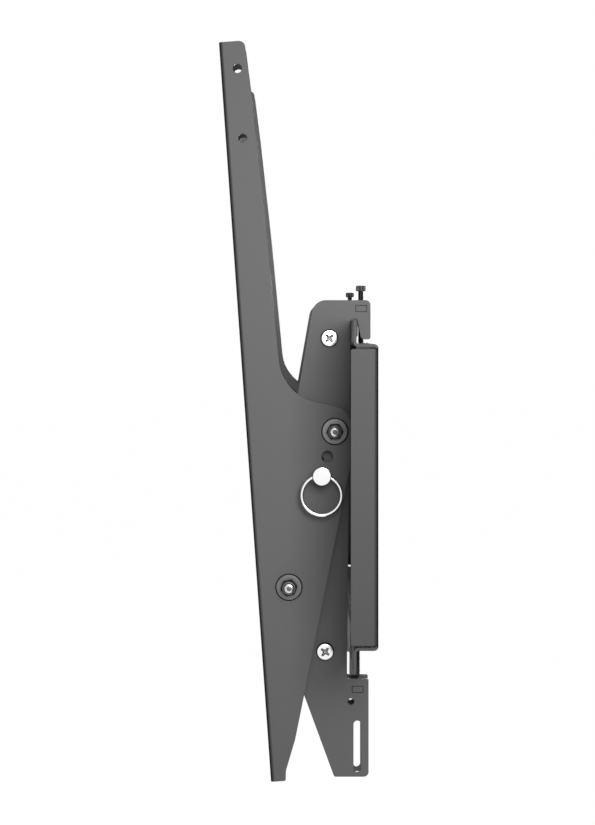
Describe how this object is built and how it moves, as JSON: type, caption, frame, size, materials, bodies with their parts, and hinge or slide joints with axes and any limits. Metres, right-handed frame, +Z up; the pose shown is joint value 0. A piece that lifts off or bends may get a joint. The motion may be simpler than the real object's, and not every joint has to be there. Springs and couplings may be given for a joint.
{
  "type": "tilting screen wall mount",
  "caption": "Wall rail with two tilting channel arms that hook over it, for hanging a large flat screen; arms adjust in height and lock at set tilts with ring pins.",
  "frame": {"origin": "middle of the rail's wall slots, on the wall face", "axes": "+X into the wall, so the screen lies on the -X side; Y along the rail; +Z up"},
  "size_m": [0.1375, 0.61, 0.6522],
  "materials": {
    "charcoal_coat": "satin charcoal powder coat on sheet steel",
    "bright_zinc": "bright zinc plate",
    "grey_zinc": "dull grey zinc plate",
    "black_oxide": "black oxide on steel",
    "bright_nickel": "bright nickel plate"
  },
  "bodies": {
    "rail": {"wall_rail": "charcoal_coat"},
    "near_height_screw": {"near_height_screw": "black_oxide"},
    "near_hook": {"near_left_cheek": "charcoal_coat", "near_right_cheek": "charcoal_coat", "near_top_block": "charcoal_coat", "near_bottom_block": "charcoal_coat", "near_upper_spacer": "bright_zinc", "near_lower_spacer": "bright_zinc", "near_spacer_screws": "bright_zinc"},
    "near_arm": {"near_arm": "charcoal_coat", "near_upper_bolt": "grey_zinc", "near_lower_bolt": "grey_zinc", "near_nuts": "black_oxide", "near_washers": "grey_zinc", "near_bushes": "grey_zinc"},
    "near_lock_pin": {"near_lock_pin": "bright_nickel"},
    "near_pull_ring": {"near_pull_ring": "bright_nickel"},
    "near_lock_screw": {"near_lock_screw": "black_oxide"},
    "far_height_screw": {"far_height_screw": "black_oxide"},
    "far_hook": {"far_left_cheek": "charcoal_coat", "far_right_cheek": "charcoal_coat", "far_top_block": "charcoal_coat", "far_bottom_block": "charcoal_coat", "far_upper_spacer": "bright_zinc", "far_lower_spacer": "bright_zinc", "far_spacer_screws": "bright_zinc"},
    "far_arm": {"far_arm": "charcoal_coat", "far_upper_bolt": "grey_zinc", "far_lower_bolt": "grey_zinc", "far_nuts": "black_oxide", "far_washers": "grey_zinc", "far_bushes": "grey_zinc"},
    "far_lock_pin": {"far_lock_pin": "bright_nickel"},
    "far_pull_ring": {"far_pull_ring": "bright_nickel"},
    "far_lock_screw": {"far_lock_screw": "black_oxide"}
  },
  "joints": [
    {"name": "near_side_slide", "type": "slide", "parent": "rail", "child": "near_height_screw", "axis": [0, 1, 0], "range_m": [-0.07, 0.14]},
    {"name": "near_height_adjust", "type": "slide", "parent": "near_height_screw", "child": "near_hook", "axis": [0, 0, 1], "range_m": [-0.0008, 0.008]},
    {"name": "near_tilt", "type": "hinge", "parent": "near_hook", "child": "near_arm", "pos_m": [-0.0022, -0.2, -0.0442], "axis": [0, -1, 0], "range_deg": [0, 14.3]},
    {"name": "near_pin_pull", "type": "slide", "parent": "near_arm", "child": "near_lock_pin", "axis": [0, -1, 0], "range_m": [-0.0068, 0.008]},
    {"name": "near_ring_swing", "type": "hinge", "parent": "near_lock_pin", "child": "near_pull_ring", "pos_m": [-0.04686, -0.23, 0.01281], "axis": [-1, 0, 0], "range_deg": [0, 90]},
    {"name": "near_lock_turn_in", "type": "slide", "parent": "near_hook", "child": "near_lock_screw", "axis": [0, 0, 1], "range_m": [-0.012, 0.002]},
    {"name": "far_side_slide", "type": "slide", "parent": "rail", "child": "far_height_screw", "axis": [0, 1, 0], "range_m": [-0.14, 0.07]},
    {"name": "far_height_adjust", "type": "slide", "parent": "far_height_screw", "child": "far_hook", "axis": [0, 0, 1], "range_m": [-0.0008, 0.008]},
    {"name": "far_tilt", "type": "hinge", "parent": "far_hook", "child": "far_arm", "pos_m": [-0.0022, 0.2, -0.0442], "axis": [0, -1, 0], "range_deg": [0, 14.3]},
    {"name": "far_pin_pull", "type": "slide", "parent": "far_arm", "child": "far_lock_pin", "axis": [0, -1, 0], "range_m": [-0.0068, 0.008]},
    {"name": "far_ring_swing", "type": "hinge", "parent": "far_lock_pin", "child": "far_pull_ring", "pos_m": [-0.04686, 0.17, 0.01281], "axis": [-1, 0, 0], "range_deg": [0, 90]},
    {"name": "far_lock_turn_in", "type": "slide", "parent": "far_hook", "child": "far_lock_screw", "axis": [0, 0, 1], "range_m": [-0.012, 0.002]}
  ]
}
